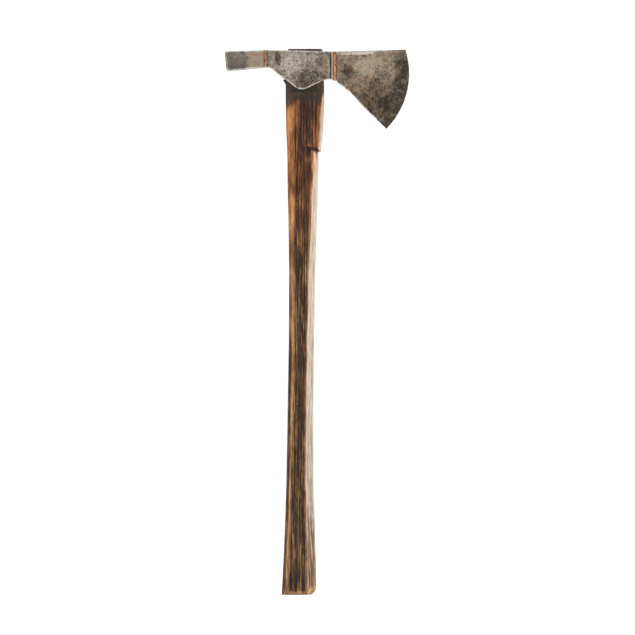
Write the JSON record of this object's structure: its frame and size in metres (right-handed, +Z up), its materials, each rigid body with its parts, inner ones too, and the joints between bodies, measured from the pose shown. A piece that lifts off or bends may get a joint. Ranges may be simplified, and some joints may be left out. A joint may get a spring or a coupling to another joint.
{
  "type": "broad axe",
  "caption": "Hammer-poll broad axe: flared blade and square poll joined with copper bands to a forged eye block with pointed langets, on a long faceted wooden haft swelled at the butt.",
  "frame": {"origin": "centre of the haft's flat butt end", "axes": "+Z up the haft towards the head, +X towards the cutting edge, +Y through the cheeks of the head"},
  "size_m": [0.2408, 0.037, 0.711],
  "materials": {
    "haft_wood": "satin",
    "wedge_wood": "matte",
    "wedge_steel": "matte",
    "eye_iron": "matte",
    "poll_iron": "matte",
    "collar_steel": "satin",
    "copper": "satin",
    "blade_iron": "matte",
    "edge_steel": "satin"
  },
  "bodies": {
    "root": {"haft": "haft_wood", "wood_wedge": "wedge_wood", "steel_wedge": "wedge_steel", "eye_block": "eye_iron", "hammer_poll": "poll_iron", "poll_copper": "copper", "neck_collar": "collar_steel", "blade_copper": "copper", "blade": "blade_iron", "edge_bit": "edge_steel"}
  },
  "joints": []
}
